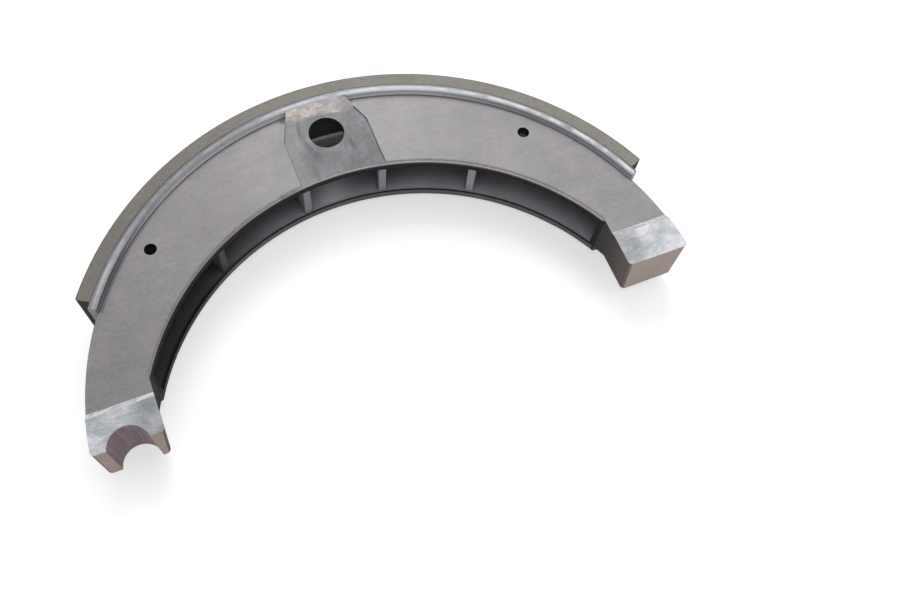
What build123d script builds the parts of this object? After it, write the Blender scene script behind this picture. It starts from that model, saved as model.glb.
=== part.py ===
from build123d import *
from math import atan2, cos, degrees, radians, sin, sqrt
import os

os.makedirs("parts", exist_ok=True)

# Brake shoe of a 200 mm drum. The drum's axis is Z and the shoe lies on its lower flank at Z = 0.
# +Y runs from the drum's axis through the middle of the shoe, and the anchor end is towards -X.
# Angles are in degrees from +Y, to the right when positive.

# drum and friction lining
drum_radius = 100.0
lining_thickness = 4.4
lining_start_angle = -59.1
lining_end_angle = 68.0
lining_edge = 0.4
shoe_width = 25.0
glue_line = 0.1

# curved rim that carries the lining, a little longer than it at both ends
rim_radius = drum_radius - lining_thickness - glue_line
rim_lip = 2.5
rim_wall = 5.0
rim_overhang = 2.2

# two webs, set back from the rim's flanks, with a narrow slope in the step
web_setback = 1.8
web_thickness = 3.6
web_low = web_setback
web_high = shoe_width - web_setback
body_radius = rim_radius - rim_lip
step_slope = 0.6

# inner bow: the webs' depth in the middle, and where the bow runs into the feet
web_depth = 26.65
foot_line = 4.5
foot_width = 20.4
foot_height = 17.3
foot_corner = 1.4
bow_edge = 1.0

# the feet lean on their inner sides, as drawn from the mould, and are cut back on the lower flank
foot_draft = 6.0
foot_relief = 3.2

# pockets between the webs, parted by ribs that stay back from the bow
foot_block = 19.0
rib_thickness = 2.4
rib_angles = (-37.3, -9.4, 12.4, 36.8)
rib_setback = 0.8
pocket_fillet = 1.8

# milled pads on the feet, each with a ramp where the cutter ran out, and the seat of the anchor pin
pad_height = 11.0
pad_rise = 0.8
pad_ramp = 1.5
anchor_radius = 6.0
anchor_offset = 0.6

# boss around the steady hole, milled a little deeper than the web, with a ramp up to the rim's flank
boss_offset = 1.5
boss_width = 28.0
boss_top_width = 18.0
boss_shoulder = 10.0
boss_recess = 0.4
boss_ramp = 4.5
steady_radius = 5.7
steady_inset = 10.6

# holes for the return springs
spring_radius = 1.9
spring_inset = 6.6
spring_angle = 45.4

# places that follow from the sizes above
rim_start_angle = lining_start_angle - degrees(rim_overhang / rim_radius)
rim_end_angle = lining_end_angle + degrees(rim_overhang / rim_radius)
floor_radius = rim_radius - rim_wall
foot_outside = sqrt(body_radius**2 - foot_line**2)
foot_inside = foot_outside - foot_width
bow_top = body_radius - web_depth
bow_foot = foot_line + foot_height
bow_rise = bow_top - bow_foot
bow_radius = (foot_inside**2 + bow_rise**2) / (2 * bow_rise)
bow_center = bow_top - bow_radius
anchor_center = (-(foot_outside + foot_inside) / 2, foot_line - anchor_offset)
pad_top = foot_line + pad_height
boss_face = web_high - boss_recess


def on_circle(radius, angle):
    """The point at this radius and at this angle from the middle of the shoe."""
    return (radius * sin(radians(angle)), radius * cos(radians(angle)))


def angle_of(point):
    """The angle of a point from the middle of the shoe."""
    return degrees(atan2(point.X, point.Y))


def curved_band(inner, outer, start, end):
    """The outline of a band that follows the drum between two radii and two angles."""
    middle = (start + end) / 2
    with BuildSketch() as band:
        with BuildLine():
            ThreePointArc(on_circle(outer, start), on_circle(outer, middle), on_circle(outer, end))
            Line(on_circle(outer, end), on_circle(inner, end))
            ThreePointArc(on_circle(inner, end), on_circle(inner, middle), on_circle(inner, start))
            Line(on_circle(inner, start), on_circle(outer, start))
        make_face()
    return band.sketch


def block(outline, profile):
    """The block that has this outline from above and this profile of Y and Z from the side."""
    with BuildPart() as result:
        with BuildSketch(Plane.YZ):
            with BuildLine():
                Polyline(*profile, close=True)
            make_face()
        extrude(amount=foot_outside, both=True)
        with BuildSketch(Plane.XY):
            add(outline)
        extrude(amount=2 * shoe_width, mode=Mode.INTERSECT)
    return result.part


rim_outline = curved_band(body_radius, rim_radius, rim_start_angle, rim_end_angle)
lining_outline = curved_band(drum_radius - lining_thickness, drum_radius, lining_start_angle, lining_end_angle)

# outline of a web, with the outer corner of each foot rounded
with BuildSketch() as web:
    with BuildLine():
        ThreePointArc((-foot_outside, foot_line), (0, body_radius), (foot_outside, foot_line))
        Polyline((foot_outside, foot_line), (foot_inside, foot_line), (foot_inside, bow_foot))
        ThreePointArc((foot_inside, bow_foot), (0, bow_top), (-foot_inside, bow_foot))
        Polyline((-foot_inside, bow_foot), (-foot_inside, foot_line), (-foot_outside, foot_line))
    make_face()
    corners = web.vertices().group_by(Axis.Y)[0].sort_by(Axis.X)
    fillet([corners[0], corners[-1]], radius=foot_corner)

# outline of the boss, with slanted shoulders up to the rim
with BuildSketch() as boss:
    with BuildLine():
        bottom_left = (boss_offset - boss_width / 2, bow_foot)
        bottom_right = (boss_offset + boss_width / 2, bow_foot)
        shoulder_left = (boss_offset - boss_width / 2, body_radius - boss_shoulder)
        shoulder_right = (boss_offset + boss_width / 2, body_radius - boss_shoulder)
        top_left = (boss_offset - boss_top_width / 2, rim_radius)
        top_right = (boss_offset + boss_top_width / 2, rim_radius)
        Polyline(bottom_left, shoulder_left, top_left, top_right, shoulder_right, bottom_right, close=True)
    make_face()
    Circle(body_radius + rim_lip / 2, mode=Mode.INTERSECT)

# pads on the feet, the lug that carries the boss's ramp, and what the cutter takes off the boss
pads = block(
    web.sketch,
    [
        (0, web_high),
        (0, web_high + pad_rise),
        (pad_top, web_high + pad_rise),
        (pad_top + pad_ramp, web_high),
    ],
)
boss_lug = block(
    boss.sketch,
    [
        (body_radius - boss_ramp, boss_face),
        (body_radius - boss_ramp, shoe_width),
        (rim_radius, shoe_width),
        (rim_radius, boss_face),
    ],
)
boss_cut = block(
    boss.sketch,
    [
        (bow_foot, boss_face),
        (body_radius - boss_ramp, boss_face),
        (body_radius, shoe_width),
        (bow_foot, shoe_width),
    ],
)

# core that leaves the pockets: as wide as the hollow, parted at the ribs, rounded along its outer side
with BuildPart() as core:
    with BuildSketch(Plane.XY.offset(web_low + web_thickness)):
        Circle(floor_radius)
        for angle in rib_angles:
            with Locations(on_circle(floor_radius, angle)):
                Rectangle(rib_thickness, 2 * (floor_radius - bow_top), rotation=-angle, mode=Mode.SUBTRACT)
        with Locations((0, bow_center)):
            Circle(bow_radius + rib_setback)
        with Locations((0, foot_line + foot_block)):
            Rectangle(3 * drum_radius, 3 * drum_radius, align=(Align.CENTER, Align.MAX), mode=Mode.SUBTRACT)
    extrude(amount=web_high - web_low - 2 * web_thickness)
    floors = core.faces().filter_by(GeomType.CYLINDER).filter_by(lambda f: abs(f.radius - floor_radius) < 0.01)
    fillet(floors.edges(), radius=pocket_fillet)

with BuildPart() as shoe_casting:
    # body with both feet and their pads, leaning on the inner sides
    with BuildSketch(Plane.XY.offset(web_low)):
        add(web.sketch)
    extrude(amount=web_high - web_low)
    add(pads)
    draft(shoe_casting.faces().filter_by(Axis.X), neutral_plane=Plane.XY.offset(web_high), angle=-foot_draft)
    inner_corners = shoe_casting.edges().group_by(Axis.Y)[0].filter_by(lambda e: e.bounding_box().size.Z > 1)
    fillet(inner_corners, radius=foot_corner)

    # soft cast edges along the bow
    bow = shoe_casting.edges().filter_by(GeomType.CIRCLE)
    fillet(bow.filter_by(lambda e: abs(e.radius - bow_radius) < 0.01), radius=bow_edge)

    # feet cut back on the lower flank
    with BuildSketch(Plane.XY.offset(web_low)):
        with Locations((0, bow_foot)):
            Rectangle(2 * foot_outside, foot_height, align=(Align.CENTER, Align.MAX))
    extrude(amount=foot_relief, mode=Mode.SUBTRACT)

    # rim, with a narrow slope in the step down to the upper web
    with BuildSketch(Plane.XY):
        add(rim_outline)
    extrude(amount=shoe_width)
    steps = shoe_casting.edges().filter_by(GeomType.CIRCLE)
    steps = steps.filter_by(lambda e: abs(e.radius - body_radius) < 0.01 and abs(e.center().Z - web_high) < 0.01)
    steps = steps.filter_by(lambda e: rim_start_angle < angle_of(e @ 0.5) < rim_end_angle)
    chamfer(steps, length=step_slope)

    # boss with its ramp
    add(boss_lug)
    add(boss_cut, mode=Mode.SUBTRACT)

    # pockets
    add(core.part, mode=Mode.SUBTRACT)

    # steady hole, spring holes and anchor seat, all right through
    with Locations((boss_offset, body_radius - steady_inset, shoe_width)):
        Hole(radius=steady_radius)
    for side in (-1, 1):
        x, y = on_circle(body_radius - spring_inset, side * spring_angle)
        with Locations((x, y, shoe_width)):
            Hole(radius=spring_radius)
    with Locations((*anchor_center, shoe_width)):
        Hole(radius=anchor_radius)

with BuildPart() as friction_lining:
    with BuildSketch(Plane.XY):
        add(lining_outline)
    extrude(amount=shoe_width)
    rubbing_face = friction_lining.faces().filter_by(GeomType.CYLINDER).sort_by(SortBy.AREA)[-1]
    chamfer(rubbing_face.edges(), length=lining_edge)

shoe_casting.part.label = "shoe_casting"
friction_lining.part.label = "friction_lining"
export_step(shoe_casting.part, "parts/shoe_casting.step")
export_step(friction_lining.part, "parts/friction_lining.step")
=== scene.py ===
import math

import bpy
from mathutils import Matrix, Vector

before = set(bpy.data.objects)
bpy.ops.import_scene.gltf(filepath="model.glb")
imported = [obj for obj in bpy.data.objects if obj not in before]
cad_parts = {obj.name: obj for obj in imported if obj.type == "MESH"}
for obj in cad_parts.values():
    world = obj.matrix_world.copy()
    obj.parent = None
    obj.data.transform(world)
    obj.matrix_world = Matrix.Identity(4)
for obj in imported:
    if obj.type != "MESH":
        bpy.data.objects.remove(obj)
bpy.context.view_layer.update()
scene = bpy.context.scene
scene.view_settings.view_transform = "Standard"

# sizes of the shoe that the materials follow, in metres
DRUM = 0.1
RIM_INNER = 0.0930
BOW_CENTER, BOW_RADIUS = -0.0149, 0.08125
ANCHOR = (-0.08269, 0.0039)
ANCHOR_RADIUS = 0.0060
STEADY = (0.0015, 0.0824)
STEADY_RADIUS = 0.0057
SPRING_LEFT, SPRING_RIGHT = (-0.06152, 0.06067), (0.06152, 0.06067)
SPRING_RADIUS = 0.0019

# heights of the milled and linished faces, and the pockets' reach in height and radius
BOSS_FACE, WEB_FACE, PAD_FACE = 0.0228, 0.0232, 0.0240
POCKET_LOW, POCKET_HIGH = 0.00535, 0.01965
POCKET_OUTER = 0.0908

# the rim's two ends and the leg towards the anchor end, in radians from +Y
RIM_START, RIM_END = -1.0525, 1.2080
LEG_START, LEG_END = -0.95, -0.55

# smears beside the steady hole: where each starts and ends, and its width
BOSS_MARKS = (
    ((-0.0063, 0.0887), (-0.0067, 0.0824), 0.0007),
    ((-0.0067, 0.0826), (-0.0056, 0.0779), 0.0007),
    ((-0.0057, 0.0781), (-0.0038, 0.0743), 0.0010),
    ((0.0070, 0.0805), (0.0084, 0.0731), 0.0007),
)


def is_socket(value):
    return isinstance(value, bpy.types.NodeSocket)


class Nodes:
    """Short ways to add and join shader nodes in one material."""

    def __init__(self, tree):
        self.tree = tree
        self.tree.nodes.clear()

    def add(self, kind, **values):
        node = self.tree.nodes.new(kind)
        for name, value in values.items():
            setattr(node, name, value)
        return node

    def put(self, socket, value):
        if is_socket(value):
            self.tree.links.new(value, socket)
        else:
            socket.default_value = value

    def math(self, operation, a, b=0.0):
        node = self.add("ShaderNodeMath", operation=operation)
        self.put(node.inputs[0], a)
        self.put(node.inputs[1], b)
        return node.outputs[0]

    def join(self, operation, values):
        """Several values joined by one operation, from the first to the last."""
        result = values[0]
        for value in values[1:]:
            result = self.math(operation, result, value)
        return result

    def times(self, *values):
        return self.join("MULTIPLY", values)

    def plus(self, *values):
        return self.join("ADD", values)

    def largest(self, *values):
        return self.join("MAXIMUM", values)

    def smallest(self, *values):
        return self.join("MINIMUM", values)

    def minus(self, a, b):
        return self.math("SUBTRACT", a, b)

    def invert(self, value):
        return self.minus(1.0, value)

    def size(self, value):
        """A value without its sign."""
        return self.math("ABSOLUTE", value)

    def weigh(self, base, *pairs):
        """A number, and added to it each value times its weight."""
        return self.plus(base, *[self.times(value, weight) for value, weight in pairs])

    def step(self, value, low, high, out_low=0.0, out_high=1.0):
        """A smooth step of a value between two limits, from zero up to one if nothing else is given."""
        node = self.add("ShaderNodeMapRange", interpolation_type="SMOOTHSTEP")
        for socket, number in zip(node.inputs, (value, low, high, out_low, out_high)):
            self.put(socket, number)
        return node.outputs[0]

    def below(self, value, low, high):
        """A smooth step down: one up to the lower limit and zero from the upper one."""
        return self.step(value, low, high, 1.0, 0.0)

    def band(self, value, low, high, soft):
        """One between two limits and zero outside them."""
        return self.times(self.step(value, low - soft, low + soft), self.below(value, high - soft, high + soft))

    def mix(self, factor, a, b):
        """One colour where the factor is zero and another where it is one."""
        node = self.add("ShaderNodeMix", data_type="RGBA")
        self.put(node.inputs[0], factor)
        self.put(node.inputs[6], a if is_socket(a) else (*a, 1.0))
        self.put(node.inputs[7], b if is_socket(b) else (*b, 1.0))
        return node.outputs[2]

    def scale_color(self, color, factor):
        """A colour made lighter or darker by a factor."""
        node = self.add("ShaderNodeVectorMath", operation="SCALE")
        self.put(node.inputs[0], color)
        self.put(node.inputs["Scale"], factor)
        return node.outputs[0]

    def blend(self, factor, a, b):
        """One number where the factor is zero and another where it is one."""
        node = self.add("ShaderNodeMix", data_type="FLOAT")
        self.put(node.inputs[0], factor)
        self.put(node.inputs[2], a)
        self.put(node.inputs[3], b)
        return node.outputs[0]

    def split(self, vector):
        node = self.add("ShaderNodeSeparateXYZ")
        self.put(node.inputs[0], vector)
        return node.outputs

    def place(self):
        """The place on the shoe in metres, as a vector and apart, and the way that the surface faces."""
        self.point = self.add("ShaderNodeTexCoord").outputs["Object"]
        self.x, self.y, self.z = self.split(self.point)
        self.r = self.distance(0.0, 0.0)
        self.angle = self.math("ARCTAN2", self.x, self.y)
        normal = self.add("ShaderNodeNewGeometry").outputs["True Normal"]
        self.nx, self.ny, self.nz = self.split(normal)
        self.up = self.step(self.nz, 0.70, 0.95)
        self.flat = self.step(self.size(self.nz), 0.70, 0.95)

    def distance(self, x, y):
        """The distance in plan from a point."""
        dx = self.minus(self.x, x)
        dy = self.minus(self.y, y)
        return self.math("SQRT", self.plus(self.times(dx, dx), self.times(dy, dy)))

    def stroke(self, start, end, width, soft):
        """One along a straight mark between two points in plan, and zero beside it."""
        length = math.dist(start, end)
        along = ((end[0] - start[0]) / length, (end[1] - start[1]) / length)
        dx = self.minus(self.x, start[0])
        dy = self.minus(self.y, start[1])
        run = self.plus(self.times(dx, along[0]), self.times(dy, along[1]))
        side = self.size(self.plus(self.times(dx, -along[1]), self.times(dy, along[0])))
        return self.times(self.band(run, 0.0, length, soft * 2), self.below(side, width / 2, width / 2 + soft))

    def polar(self):
        """Coordinates that run with the rim: along the arc, across it and through the width."""
        middle_radius = 0.09
        node = self.add("ShaderNodeCombineXYZ")
        self.put(node.inputs[0], self.times(self.angle, middle_radius))
        self.put(node.inputs[1], self.r)
        self.put(node.inputs[2], self.z)
        return node.outputs[0]

    def noise(self, scale, detail, roughness, stretch=(1, 1, 1), vector=None, turn=0.0, distortion=0.0):
        mapping = self.add("ShaderNodeMapping")
        mapping.inputs["Scale"].default_value = stretch
        mapping.inputs["Rotation"].default_value = (0, 0, turn)
        self.put(mapping.inputs[0], self.point if vector is None else vector)
        node = self.add("ShaderNodeTexNoise")
        self.put(node.inputs["Vector"], mapping.outputs[0])
        node.inputs["Scale"].default_value = scale
        node.inputs["Detail"].default_value = detail
        node.inputs["Roughness"].default_value = roughness
        node.inputs["Distortion"].default_value = distortion
        return node.outputs[0]

    def cells(self, scale):
        node = self.add("ShaderNodeTexVoronoi", feature="F1")
        self.put(node.inputs["Vector"], self.point)
        node.inputs["Scale"].default_value = scale
        return node

    def bump(self, height, distance, strength, normal=None):
        node = self.add("ShaderNodeBump")
        self.put(node.inputs["Strength"], strength)
        node.inputs["Distance"].default_value = distance
        self.put(node.inputs["Height"], height)
        if normal is not None:
            self.put(node.inputs["Normal"], normal)
        return node.outputs[0]

    def corner_closeness(self, distance):
        """How closed in a place is, from 0 in the open to 1 in a corner."""
        node = self.add("ShaderNodeAmbientOcclusion", samples=8)
        node.inputs["Distance"].default_value = distance
        return self.invert(node.outputs["AO"])

    def rounded_normal(self, radius):
        """The surface's direction, with sharp edges rounded in the shading."""
        node = self.add("ShaderNodeBevel", samples=4)
        node.inputs["Radius"].default_value = radius
        return node.outputs[0]

    def end(self, kind, shader):
        """Give a shader to the material's or the world's output."""
        self.put(self.add(kind).inputs[0], shader.outputs[0])


class CastMetal(Nodes):
    """The casting's look: its noises, where its surfaces lie, and the colour of each of them.

    A method that takes a colour paints its own surfaces over it and gives the result."""

    def __init__(self, tree):
        super().__init__(tree)
        self.place()
        self.add_noises()
        self.find_faces()
        self.find_walls()

    def add_noises(self):
        self.fine = self.noise(2600, 3, 0.6)
        self.grain = self.noise(1100, 4, 0.65)
        self.patch = self.noise(150, 3, 0.55)
        self.cloud = self.noise(38, 3, 0.5)
        self.brushed = self.noise(420, 4, 0.6, stretch=(0.10, 1.6, 1.0), turn=0.25)
        self.around = self.noise(300, 3, 0.6, stretch=(0.06, 5.0, 5.0), vector=self.polar())
        self.smear = self.noise(260, 5, 0.7, stretch=(1.0, 0.45, 1.0), turn=0.5, distortion=1.2)
        self.scratch = self.noise(330, 5, 0.70, stretch=(0.40, 1.1, 1.0), turn=-0.55, distortion=1.6)
        self.along = self.noise(900, 3, 0.6, stretch=(1.0, 1.0, 0.06))

    def speckled(self, color, base, share):
        """A colour that gets lighter and darker with the grain."""
        return self.scale_color(color, self.weigh(base, (self.grain, share)))

    def find_faces(self):
        """The faces that look up, and the two kinds of ramp: one on them and zero beside them."""
        on_rim = self.step(self.r, RIM_INNER - 0.0001, RIM_INNER + 0.0001)
        self.rim = self.times(on_rim, self.flat)
        self.rim_face = self.times(on_rim, self.up)
        self.boss = self.times(
            self.up,
            self.band(self.z, BOSS_FACE - 0.00015, BOSS_FACE + 0.00020, 0.00006),
            self.below(self.size(self.x), 0.017, 0.018),
        )
        self.pad = self.times(
            self.up,
            self.band(self.z, PAD_FACE - 0.0002, PAD_FACE + 0.0002, 0.0001),
            self.below(self.y, 0.0157, 0.0160),
        )
        # the boss's ramp faces the bow, and the pads' ramps face up the legs
        leaning = self.step(self.nz, 0.80, 0.85)
        self.ramp = self.times(self.below(self.ny, -0.42, -0.30), leaning, self.step(self.r, 0.0865, 0.0875))
        self.pad_ramp = self.times(self.step(self.ny, 0.30, 0.42), leaning, self.below(self.y, 0.019, 0.020))

    def find_walls(self):
        """The upright faces, the pockets and the holes: one on them and zero beside them."""
        steep = self.size(self.nz)
        self.in_rim = self.band(self.angle, RIM_START, RIM_END, 0.0008)
        self.left_leg = self.below(self.angle, LEG_START, LEG_END)

        # under the bow's edge the wall is told by its height, because the edge is rounded there
        self.bow_distance = self.distance(0.0, BOW_CENTER)
        above_feet = self.step(self.y, 0.0214, 0.0219)
        near_bow = self.below(self.bow_distance, BOW_RADIUS + 0.0010, BOW_RADIUS + 0.0011)
        self.bow_zone = self.times(above_feet, near_bow)
        self.bow_wall = self.times(self.bow_zone, self.below(self.z, 0.02222, 0.02236))
        self.wall = self.blend(self.bow_zone, self.invert(self.step(steep, 0.12, 0.42)), self.bow_wall)

        # the step under the rim
        self.step_wall = self.times(
            self.below(steep, 0.80, 0.90),
            self.in_rim,
            self.band(self.r, 0.09262, 0.0931, 0.00005),
            self.step(self.z, 0.02335, 0.0235),
        )

        # both ends of the rim, and the low wall that the cutter left at the boss's left shoulder
        self.rim_end = self.times(
            self.wall, self.invert(self.in_rim), self.step(self.r, 0.0932, 0.0933), self.step(self.y, 0.030, 0.031)
        )
        self.shoulder = self.times(
            self.wall,
            self.step(self.z, 0.0227, 0.0228),
            self.band(self.x, -0.0135, -0.0070, 0.0003),
            self.below(self.r, 0.0925, 0.0926),
            self.step(self.y, 0.05, 0.06),
        )

        # the pockets between the webs, and the strip of them that is seen through the steady hole
        in_pocket = self.times(
            self.band(self.z, POCKET_LOW, POCKET_HIGH, 0.0001), self.below(self.r, POCKET_OUTER, POCKET_OUTER + 0.0002)
        )
        behind_bow = self.step(self.bow_distance, BOW_RADIUS + 0.0002, BOW_RADIUS + 0.0006)
        self.inside = self.times(behind_bow, in_pocket, self.step(self.y, 0.0232, 0.0234))
        off_steady = self.size(self.minus(self.x, STEADY[0]))
        self.behind = self.times(self.below(off_steady, 0.0090, 0.0100), self.step(self.r, 0.0830, 0.0840), in_pocket)

        # the anchor pin's seat, the land beside it, and the inner sides of both feet
        self.seat = self.times(
            self.wall, self.below(self.distance(*ANCHOR), ANCHOR_RADIUS + 0.0001, ANCHOR_RADIUS + 0.0004)
        )
        self.land = self.times(self.below(self.ny, -0.95, -0.85), self.below(self.y, 0.0047, 0.0050))
        self.foot_side = self.times(
            self.step(self.size(self.nx), 0.84, 0.88),
            self.below(self.size(self.x), 0.0780, 0.0785),
            self.below(self.y, 0.0222, 0.0226),
        )

        # the walls of the holes
        self.bore = self.times(
            self.wall, self.below(self.distance(*STEADY), STEADY_RADIUS + 0.0001, STEADY_RADIUS + 0.0003)
        )
        near_spring = self.smallest(self.distance(*SPRING_LEFT), self.distance(*SPRING_RIGHT))
        self.spring = self.times(self.wall, self.below(near_spring, SPRING_RADIUS + 0.0001, SPRING_RADIUS + 0.0002))

    def flanks(self):
        """Linished flanks: light grey with a warm cast, mottled, with faint brushed lines, with painted shade towards
        the anchor end and a painted highlight across the middle.
        """
        tone = self.weigh(
            0.30, (self.patch, 0.36), (self.cloud, 0.14), (self.brushed, 0.20), (self.grain, 0.66), (self.fine, 0.29)
        )
        # painted shade towards the anchor end and a painted highlight across the middle
        shaded_left = self.step(self.angle, -1.25, -0.35, 0.78, 0.97)
        lit_middle = (self.band(self.angle, -0.10, 0.40, 0.35), 0.12)
        shaded_flank_band = (self.band(self.angle, -0.72, -0.40, 0.15), -0.10)
        tone = self.times(tone, shaded_left, self.weigh(1.0, lit_middle, shaded_flank_band))
        cast = self.step(self.noise(90, 2, 0.5), 0.38, 0.62)
        color = self.scale_color(self.mix(cast, (0.312, 0.318, 0.308), (0.354, 0.326, 0.344)), tone)

        # the bow's rounded upper edge, with painted light where it turns down, stronger towards the right
        rounded = self.times(self.bow_zone, self.step(self.z, 0.0200, 0.0210), self.invert(self.bow_wall))
        painted_edge_light = self.step(self.nz, 0.05, 0.80, self.step(self.angle, -0.8, 0.1, 1.15, 2.1), 1.0)
        return self.scale_color(color, self.blend(rounded, 1.0, painted_edge_light))

    def paint_rim(self, color):
        """The rim's flanks: cleaner and cooler, with a painted highlight along the middle, darker in patches next to
        the lining, painted shade towards the anchor end and painted light towards the right.
        """
        rim_shaded_left = (self.band(self.angle, -0.80, -0.20, 0.12), -0.33)
        rim_lit_right = (self.band(self.angle, 0.1, 0.55, 0.1), 0.12)
        tone = self.times(
            self.weigh(0.80, (self.around, 0.40), (self.grain, 0.14)), self.weigh(1.0, rim_shaded_left, rim_lit_right)
        )
        # painted highlight along the middle of the rim, broken up in patches
        worn = self.times(self.band(self.r, 0.0937, 0.0949, 0.0004), self.step(self.patch, 0.30, 0.60))
        # the painted highlight is lighter towards the right end
        bright = self.mix(self.step(self.angle, 0.35, 1.05), (0.430, 0.438, 0.468), (0.68, 0.68, 0.69))
        rim_color = self.mix(worn, (0.265, 0.275, 0.300), bright)
        darker_by_lining = self.times(self.step(self.r, 0.0946, 0.0951), self.step(self.patch, 0.30, 0.60, 0.35, 0.80))
        rim_color = self.mix(darker_by_lining, rim_color, (0.200, 0.192, 0.180))
        return self.mix(self.rim, color, self.scale_color(rim_color, tone))

    def paint_boss(self, color):
        """The boss: duller and rougher, with smears and a dark spot beside the hole."""
        cast = self.step(self.noise(230, 3, 0.6), 0.40, 0.62)
        boss_color = self.mix(cast, (0.285, 0.296, 0.285), (0.352, 0.332, 0.378))
        tone = self.times(
            self.weigh(0.22, (self.smear, 0.95), (self.grain, 0.65)),
            self.step(self.x, -0.013, 0.010, 1.12, 0.93),
            self.step(self.y, 0.070, 0.080, 0.86, 1.0),
        )
        boss_color = self.scale_color(boss_color, tone)
        marked = self.plus(*[self.stroke(start, end, width, 0.0009) for start, end, width in BOSS_MARKS])
        marked = self.times(self.smallest(marked, 1.0), self.step(self.smear, 0.36, 0.58, 0.0, 0.62))
        boss_color = self.mix(marked, boss_color, (0.12, 0.12, 0.15))
        near_spot = self.below(self.distance(-0.0048, 0.0765), 0.0010, 0.0065)
        spot = self.times(near_spot, self.step(self.smear, 0.30, 0.60, 0.15, 0.55))
        boss_color = self.mix(spot, boss_color, (0.150, 0.145, 0.190))
        fading_left = self.step(self.x, -0.0130, -0.0060, 0.25, 1.0)
        return self.mix(self.times(self.boss, fading_left), color, boss_color)

    def paint_ramp(self, color):
        """The ramp from the boss up to the rim: bright, with warm and pinkish marks."""
        mark = self.noise(420, 4, 0.7, stretch=(0.5, 1.0, 1.0), turn=-0.3)
        ramp_color = self.mix(self.step(mark, 0.40, 0.62), (0.60, 0.545, 0.545), (0.86, 0.81, 0.78))
        near_stain = self.below(self.distance(-0.0045, 0.0903), 0.0008, 0.0026)
        yellowish = self.times(near_stain, self.step(mark, 0.40, 0.52))
        ramp_color = self.mix(yellowish, ramp_color, (0.84, 0.78, 0.60))
        # it starts on a ragged line, and is fainter at its right end
        ragged = self.weigh(self.y, (mark, 0.0060), (self.x, 0.10))
        fade = self.times(self.step(self.x, 0.0070, 0.0105, 1.0, 0.35), self.step(ragged, 0.0908, 0.0935, 0.10, 1.0))
        return self.mix(self.times(self.ramp, fade), color, self.speckled(ramp_color, 0.78, 0.40))

    def paint_pads(self, color):
        """The pads: light and blotchy, brightest at their outer side, with scratches on the ramp."""
        pad_color = self.mix(self.step(self.patch, 0.35, 0.65), (0.50, 0.535, 0.55), (0.78, 0.76, 0.82))
        outer_side = self.step(self.size(self.x), 0.0755, 0.0815, 0.62, 1.0)
        tone = self.times(self.weigh(0.62, (self.scratch, 0.70)), outer_side)
        color = self.mix(self.pad, color, self.scale_color(pad_color, tone))
        ramp_color = self.mix(self.step(self.scratch, 0.45, 0.60), (0.62, 0.61, 0.63), (0.92, 0.91, 0.93))
        return self.mix(self.pad_ramp, color, self.speckled(ramp_color, 0.75, 0.45))

    def paint_walls(self, color):
        """The as-cast walls with painted shade, the step under the rim and the rim's ends with painted light, and the
        boss's shoulder.
        """
        # the upright walls: darker as cast, with painted shade on top
        cast_and_shaded_color = self.mix(self.patch, (0.14, 0.135, 0.13), (0.20, 0.19, 0.185))
        color = self.mix(self.wall, color, self.speckled(cast_and_shaded_color, 0.72, 0.5))

        # the step under the rim: painted light, with painted shade towards the anchor end, and duller towards the
        # right
        lit_step_color = self.mix(self.around, (0.62, 0.63, 0.68), (0.80, 0.80, 0.84))
        tone = self.times(
            self.weigh(0.8, (self.grain, 0.4)),
            self.step(self.angle, LEG_START, LEG_END, 0.28, 1.0),
            self.step(self.angle, 0.35, 0.85, 1.0, 0.60),
        )
        color = self.mix(self.step_wall, color, self.scale_color(lit_step_color, tone))

        # painted light on both ends of the rim
        lit_end_color = self.mix(self.patch, (0.40, 0.40, 0.41), (0.55, 0.54, 0.54))
        color = self.mix(self.rim_end, color, self.speckled(lit_end_color, 0.7, 0.6))
        return self.mix(self.shoulder, color, (0.30, 0.30, 0.31))

    def paint_bow(self, color):
        """The wall under the bow's edge: painted shade, nearly black, with painted light at the edge towards the right
        and along the far web, and darker on the left leg.
        """
        at_edge = self.mix(self.step(self.angle, -0.4, 0.2), (0.10, 0.095, 0.10), (0.26, 0.25, 0.255))
        near_web = self.mix(self.step(self.z, 0.0213, 0.0223), (0.020, 0.019, 0.020), at_edge)
        far_web = self.below(self.z, 0.0048, 0.0052)
        bow_shade_color = self.mix(far_web, near_web, (0.190, 0.178, 0.176))
        tone = self.times(
            self.weigh(0.62, (self.grain, 0.5), (self.patch, 0.3)), self.blend(self.left_leg, 1.0, 0.35)
        )
        return self.mix(self.bow_wall, color, self.scale_color(bow_shade_color, tone))

    def paint_pockets(self, color):
        """The pockets: painted shade, lighter at the open side and where they face up, and dark towards the anchor
        end.
        """
        open_side = self.below(self.bow_distance, BOW_RADIUS + 0.0005, BOW_RADIUS + 0.0085)
        pocket_shade_color = self.mix(open_side, (0.20, 0.19, 0.21), (0.58, 0.56, 0.62))
        facing_up = self.step(self.nz, 0.15, 0.9)
        pocket_shade_color = self.mix(facing_up, self.scale_color(pocket_shade_color, 0.72), pocket_shade_color)
        tone = self.times(
            self.weigh(0.60, (self.patch, 0.40), (self.grain, 0.45)),
            self.step(self.angle, -0.85, -0.15, 0.09, 1.0),
            self.step(self.angle, 0.1, 0.4, 0.88, 1.15),
        )
        color = self.mix(self.inside, color, self.scale_color(pocket_shade_color, tone))

        # behind the steady hole: painted shade, with a painted highlight on a strip low down and a dull one under it
        low_down = self.mix(self.step(self.z, 0.0066, 0.0074), (0.42, 0.39, 0.36), (0.030, 0.032, 0.026))
        behind_light_and_shade = self.mix(self.band(self.z, 0.0070, 0.0090, 0.0004), low_down, (0.95, 0.95, 0.94))
        return self.mix(self.behind, color, self.scale_color(behind_light_and_shade, self.weigh(0.7, (self.patch, 0.6))))

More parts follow.
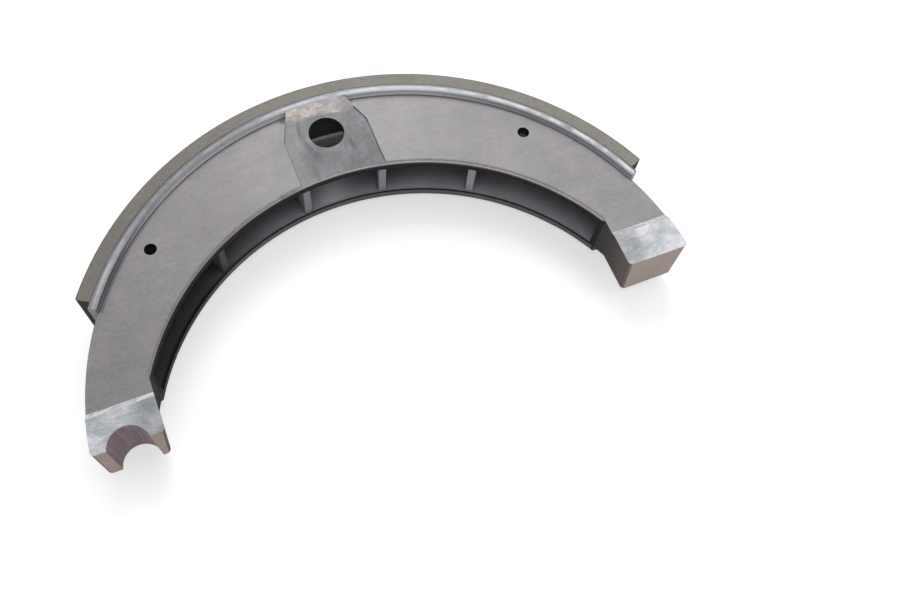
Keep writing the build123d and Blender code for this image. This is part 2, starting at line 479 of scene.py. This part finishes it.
    def paint_anchor(self, color):
        """The worn seat with its pinkish cast, the warm land, and painted shade on the inner sides of the feet, darker
        higher up.
        """
        seat_color = self.mix(self.step(self.along, 0.38, 0.62), (0.310, 0.235, 0.262), (0.390, 0.310, 0.345))
        color = self.mix(self.seat, color, self.speckled(seat_color, 0.8, 0.35))
        land_color = self.mix(self.patch, (0.46, 0.36, 0.32), (0.60, 0.48, 0.43))
        color = self.mix(self.land, color, self.speckled(land_color, 0.70, 0.6))
        side_shade_color = self.mix(self.step(self.y, 0.006, 0.016), (0.12, 0.085, 0.075), (0.030, 0.026, 0.024))
        return self.mix(self.foot_side, color, self.speckled(side_shade_color, 0.7, 0.5))

    def paint_holes(self, color):
        # painted shade in the holes: the steady hole's bore near black, bluish on its left, and the spring holes black
        bore_shade_color = self.mix(self.step(self.x, -0.0045, 0.0), (0.045, 0.048, 0.075), (0.026, 0.028, 0.022))
        color = self.mix(self.bore, color, bore_shade_color)
        return self.mix(self.spring, color, (0.012, 0.012, 0.012))

    def painted_shade(self):
        """Painted shade in the corners, a painted shadow line along the step under the rim, and a painted shadow left
        of the ramp.
        """
        corners = self.times(
            self.step(self.corner_closeness(0.0022), 0.16, 0.62),
            self.blend(self.inside, 0.70, 0.30),
            self.invert(self.step_wall),
            self.invert(self.behind),
            self.invert(self.shoulder),
        )
        near_shadow_spot = self.step(self.distance(-0.0102, 0.0913), 0.0006, 0.0024, 0.60, 0.0)
        shadow_spot = self.times(near_shadow_spot, self.below(self.z, WEB_FACE + 0.0002, WEB_FACE + 0.0004))
        on_web = self.step(self.z, WEB_FACE - 0.00005, WEB_FACE)
        step_shadow_line = self.times(
            self.band(self.r, 0.09230, 0.09265, 0.00008),
            on_web,
            self.below(self.z, WEB_FACE + 0.0004, WEB_FACE + 0.0005),
            self.step(self.nz, 0.2, 0.5),
            self.in_rim,
            self.weigh(0.42, (self.patch, 0.40), (self.left_leg, 0.25)),
        )
        left_shadow_line = self.times(
            self.band(self.r, 0.0916, 0.09245, 0.00025),
            on_web,
            self.up,
            self.in_rim,
            self.left_leg,
            self.weigh(0.25, (self.patch, 0.5)),
        )
        return self.largest(corners, shadow_spot, left_shadow_line, step_shadow_line)

    def relief(self):
        """Grain of the casting, brushed lines of the flanks and tool marks."""
        flank = self.weigh(0.0, (self.fine, 0.5), (self.brushed, 0.9), (self.grain, 0.5))
        rim = self.weigh(0.0, (self.around, 1.6), (self.fine, 0.4))
        boss = self.weigh(0.0, (self.smear, 2.2), (self.grain, 1.2))
        pad = self.weigh(0.0, (self.scratch, 2.4), (self.grain, 1.0))
        cast = self.weigh(0.0, (self.grain, 2.0), (self.fine, 1.0))
        height = self.blend(self.rim_face, flank, rim)
        height = self.blend(self.largest(self.boss, self.ramp), height, boss)
        height = self.blend(self.largest(self.pad, self.pad_ramp), height, pad)
        height = self.blend(self.largest(self.wall, self.inside), height, cast)
        return self.blend(self.seat, height, self.times(self.along, 1.6))


def cast_metal():
    material = bpy.data.materials.new("cast_alloy_look")
    material.use_nodes = True
    n = CastMetal(material.node_tree)

    # each one paints over the ones before it
    color = n.flanks()
    for paint in (
        n.paint_rim, n.paint_boss, n.paint_ramp, n.paint_pads, n.paint_walls,
        n.paint_bow, n.paint_pockets, n.paint_anchor, n.paint_holes,
    ):
        color = paint(color)
    # painted shade: darkened corners, a shadow line along the step under the rim and a shadow left of the ramp
    dark = n.painted_shade()
    color = n.mix(n.smallest(dark, 1.0), color, (0.085, 0.083, 0.095))

    dull = n.largest(n.wall, n.inside, n.times(dark, 0.8))
    machined = n.largest(n.rim, n.pad, n.ramp, n.pad_ramp)
    rough = n.weigh(0.46, (n.grain, 0.16), (n.patch, 0.08), (n.boss, 0.08))
    rough = n.minus(rough, n.times(machined, 0.10))
    without_gloss = n.largest(n.times(dull, n.left_leg), n.bow_wall, n.bore)
    shader = n.add("ShaderNodeBsdfPrincipled")
    n.put(shader.inputs["Base Color"], color)
    n.put(shader.inputs["Metallic"], n.blend(dull, n.blend(machined, 0.45, 0.65), 0.10))
    n.put(shader.inputs["Roughness"], n.blend(dull, rough, 0.72))
    n.put(shader.inputs["Specular IOR Level"], n.blend(without_gloss, 0.5, 0.12))
    n.put(shader.inputs["Normal"], n.bump(n.relief(), 0.00012, 0.7, n.rounded_normal(0.00030)))
    n.end("ShaderNodeOutputMaterial", shader)
    return material


def lining_compound():
    material = bpy.data.materials.new("lining_look")
    material.use_nodes = True
    n = Nodes(material.node_tree)
    n.place()
    fine = n.noise(2400, 3, 0.6)
    grain = n.noise(1000, 4, 0.7)
    patch = n.noise(110, 3, 0.55)
    grind = n.noise(520, 3, 0.6, stretch=(0.05, 1.0, 1.6), vector=n.polar())
    cells = n.cells(1150)
    fleck = n.below(cells.outputs["Distance"], 0.14, 0.36)
    pick = n.split(cells.outputs["Color"])
    light_fleck = n.times(fleck, n.step(pick[0], 0.72, 0.80))
    dark_fleck = n.times(fleck, n.step(pick[1], 0.70, 0.78))
    rubbing = n.times(n.step(n.r, DRUM - 0.0006, DRUM - 0.0002), n.invert(n.flat))
    end_face = n.times(n.invert(n.flat), n.invert(rubbing))

    # flanks are greyer and lighter, with painted shade towards the anchor end, and the ground face is olive-brown,
    # browner towards its ends
    flank_color = n.mix(patch, (0.292, 0.275, 0.252), (0.335, 0.318, 0.292))
    flank_color = n.scale_color(flank_color, n.step(n.angle, -1.0, 0.2, 0.78, 1.06))
    ends = n.step(n.size(n.angle), 0.45, 1.15)
    face_color = n.mix(ends, (0.180, 0.175, 0.128), (0.118, 0.098, 0.062))
    color = n.mix(rubbing, flank_color, face_color)
    color = n.mix(end_face, color, (0.060, 0.054, 0.040))
    color = n.scale_color(color, n.weigh(0.62, (grain, 0.46), (fine, 0.22), (patch, 0.12)))
    color = n.mix(n.times(light_fleck, 0.40), color, (0.42, 0.40, 0.31))
    color = n.mix(n.times(dark_fleck, 0.50), color, (0.055, 0.050, 0.040))
    # painted shade in the corners
    painted_shade = n.step(n.corner_closeness(0.0015), 0.25, 0.75)
    color = n.mix(n.times(painted_shade, 0.45), color, (0.07, 0.066, 0.060))

    shader = n.add("ShaderNodeBsdfPrincipled")
    n.put(shader.inputs["Base Color"], color)
    shader.inputs["Specular IOR Level"].default_value = 0.25
    n.put(shader.inputs["Roughness"], n.weigh(0.78, (grain, 0.18)))
    height = n.weigh(0.0, (grain, 1.8), (fine, 0.8), (light_fleck, 0.5), (n.times(rubbing, grind), 0.8))
    n.put(shader.inputs["Normal"], n.bump(height, 0.00016, 0.8))
    n.end("ShaderNodeOutputMaterial", shader)
    return material


for name, look in (("shoe_casting", cast_metal()), ("friction_lining", lining_compound())):
    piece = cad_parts[name]
    piece.data.materials.clear()
    piece.data.materials.append(look)


def seen_white(n, extra):
    """An extra glow that only the camera, reflections and glass see."""
    path = n.add("ShaderNodeLightPath")
    rays = [path.outputs[f"Is {kind} Ray"] for kind in ("Camera", "Glossy", "Transmission")]
    return n.times(n.largest(*rays), extra)


# pale floor that keeps the shoe's shadow
bpy.ops.mesh.primitive_grid_add(x_subdivisions=4, y_subdivisions=4, size=6.0)
floor = bpy.context.object
floor.name = "floor"
floor_look = bpy.data.materials.new("floor_look")
floor_look.use_nodes = True
n = Nodes(floor_look.node_tree)
diffuse = n.add("ShaderNodeBsdfDiffuse")
diffuse.inputs["Color"].default_value = (0.85, 0.85, 0.85, 1)
glow = n.add("ShaderNodeEmission")
glow.inputs["Color"].default_value = (1, 1, 1, 1)
n.put(glow.inputs["Strength"], seen_white(n, 0.50))
both = n.add("ShaderNodeAddShader")
n.put(both.inputs[0], diffuse.outputs[0])
n.put(both.inputs[1], glow.outputs[0])
n.end("ShaderNodeOutputMaterial", both)
floor.data.materials.append(floor_look)

# world: soft light that is stronger from behind the shoe than from the front
world = bpy.data.worlds.new("studio")
scene.world = world
world.use_nodes = True
n = Nodes(world.node_tree)
direction = n.split(n.add("ShaderNodeTexCoord").outputs["Generated"])
background = n.add("ShaderNodeBackground")
background.inputs["Color"].default_value = (1, 1, 1, 1)
n.put(background.inputs["Strength"], n.step(direction[1], -0.7, 0.9, 0.40, 0.60))
n.end("ShaderNodeOutputWorld", background)


def soft_light(name, place, target, size, power):
    data = bpy.data.lights.new(name, "AREA")
    data.shape = "SQUARE"
    data.size = size
    data.energy = power
    light = bpy.data.objects.new(name, data)
    scene.collection.objects.link(light)
    light.location = place
    light.rotation_euler = (Vector(target) - Vector(place)).to_track_quat("-Z", "Y").to_euler()


soft_light("key", (0.16, 0.57, 0.78), (0.0, 0.06, 0.01), 0.45, 2.7)
soft_light("fill", (0.45, 0.05, 0.75), (0, 0.05, 0.01), 0.6, 0.8)

# the photograph's view
camera_data = bpy.data.cameras.new("camera")
camera_data.sensor_fit = "HORIZONTAL"
camera_data.sensor_width = 36.0
camera_data.lens = 37.94
camera_data.clip_start = 0.01
camera_data.clip_end = 20.0
camera = bpy.data.objects.new("camera", camera_data)
scene.collection.objects.link(camera)
camera.location = (-0.04418, -0.08644, 0.28148)
camera.rotation_euler = [math.radians(a) for a in (24.058, -3.928, -22.387)]
scene.camera = camera
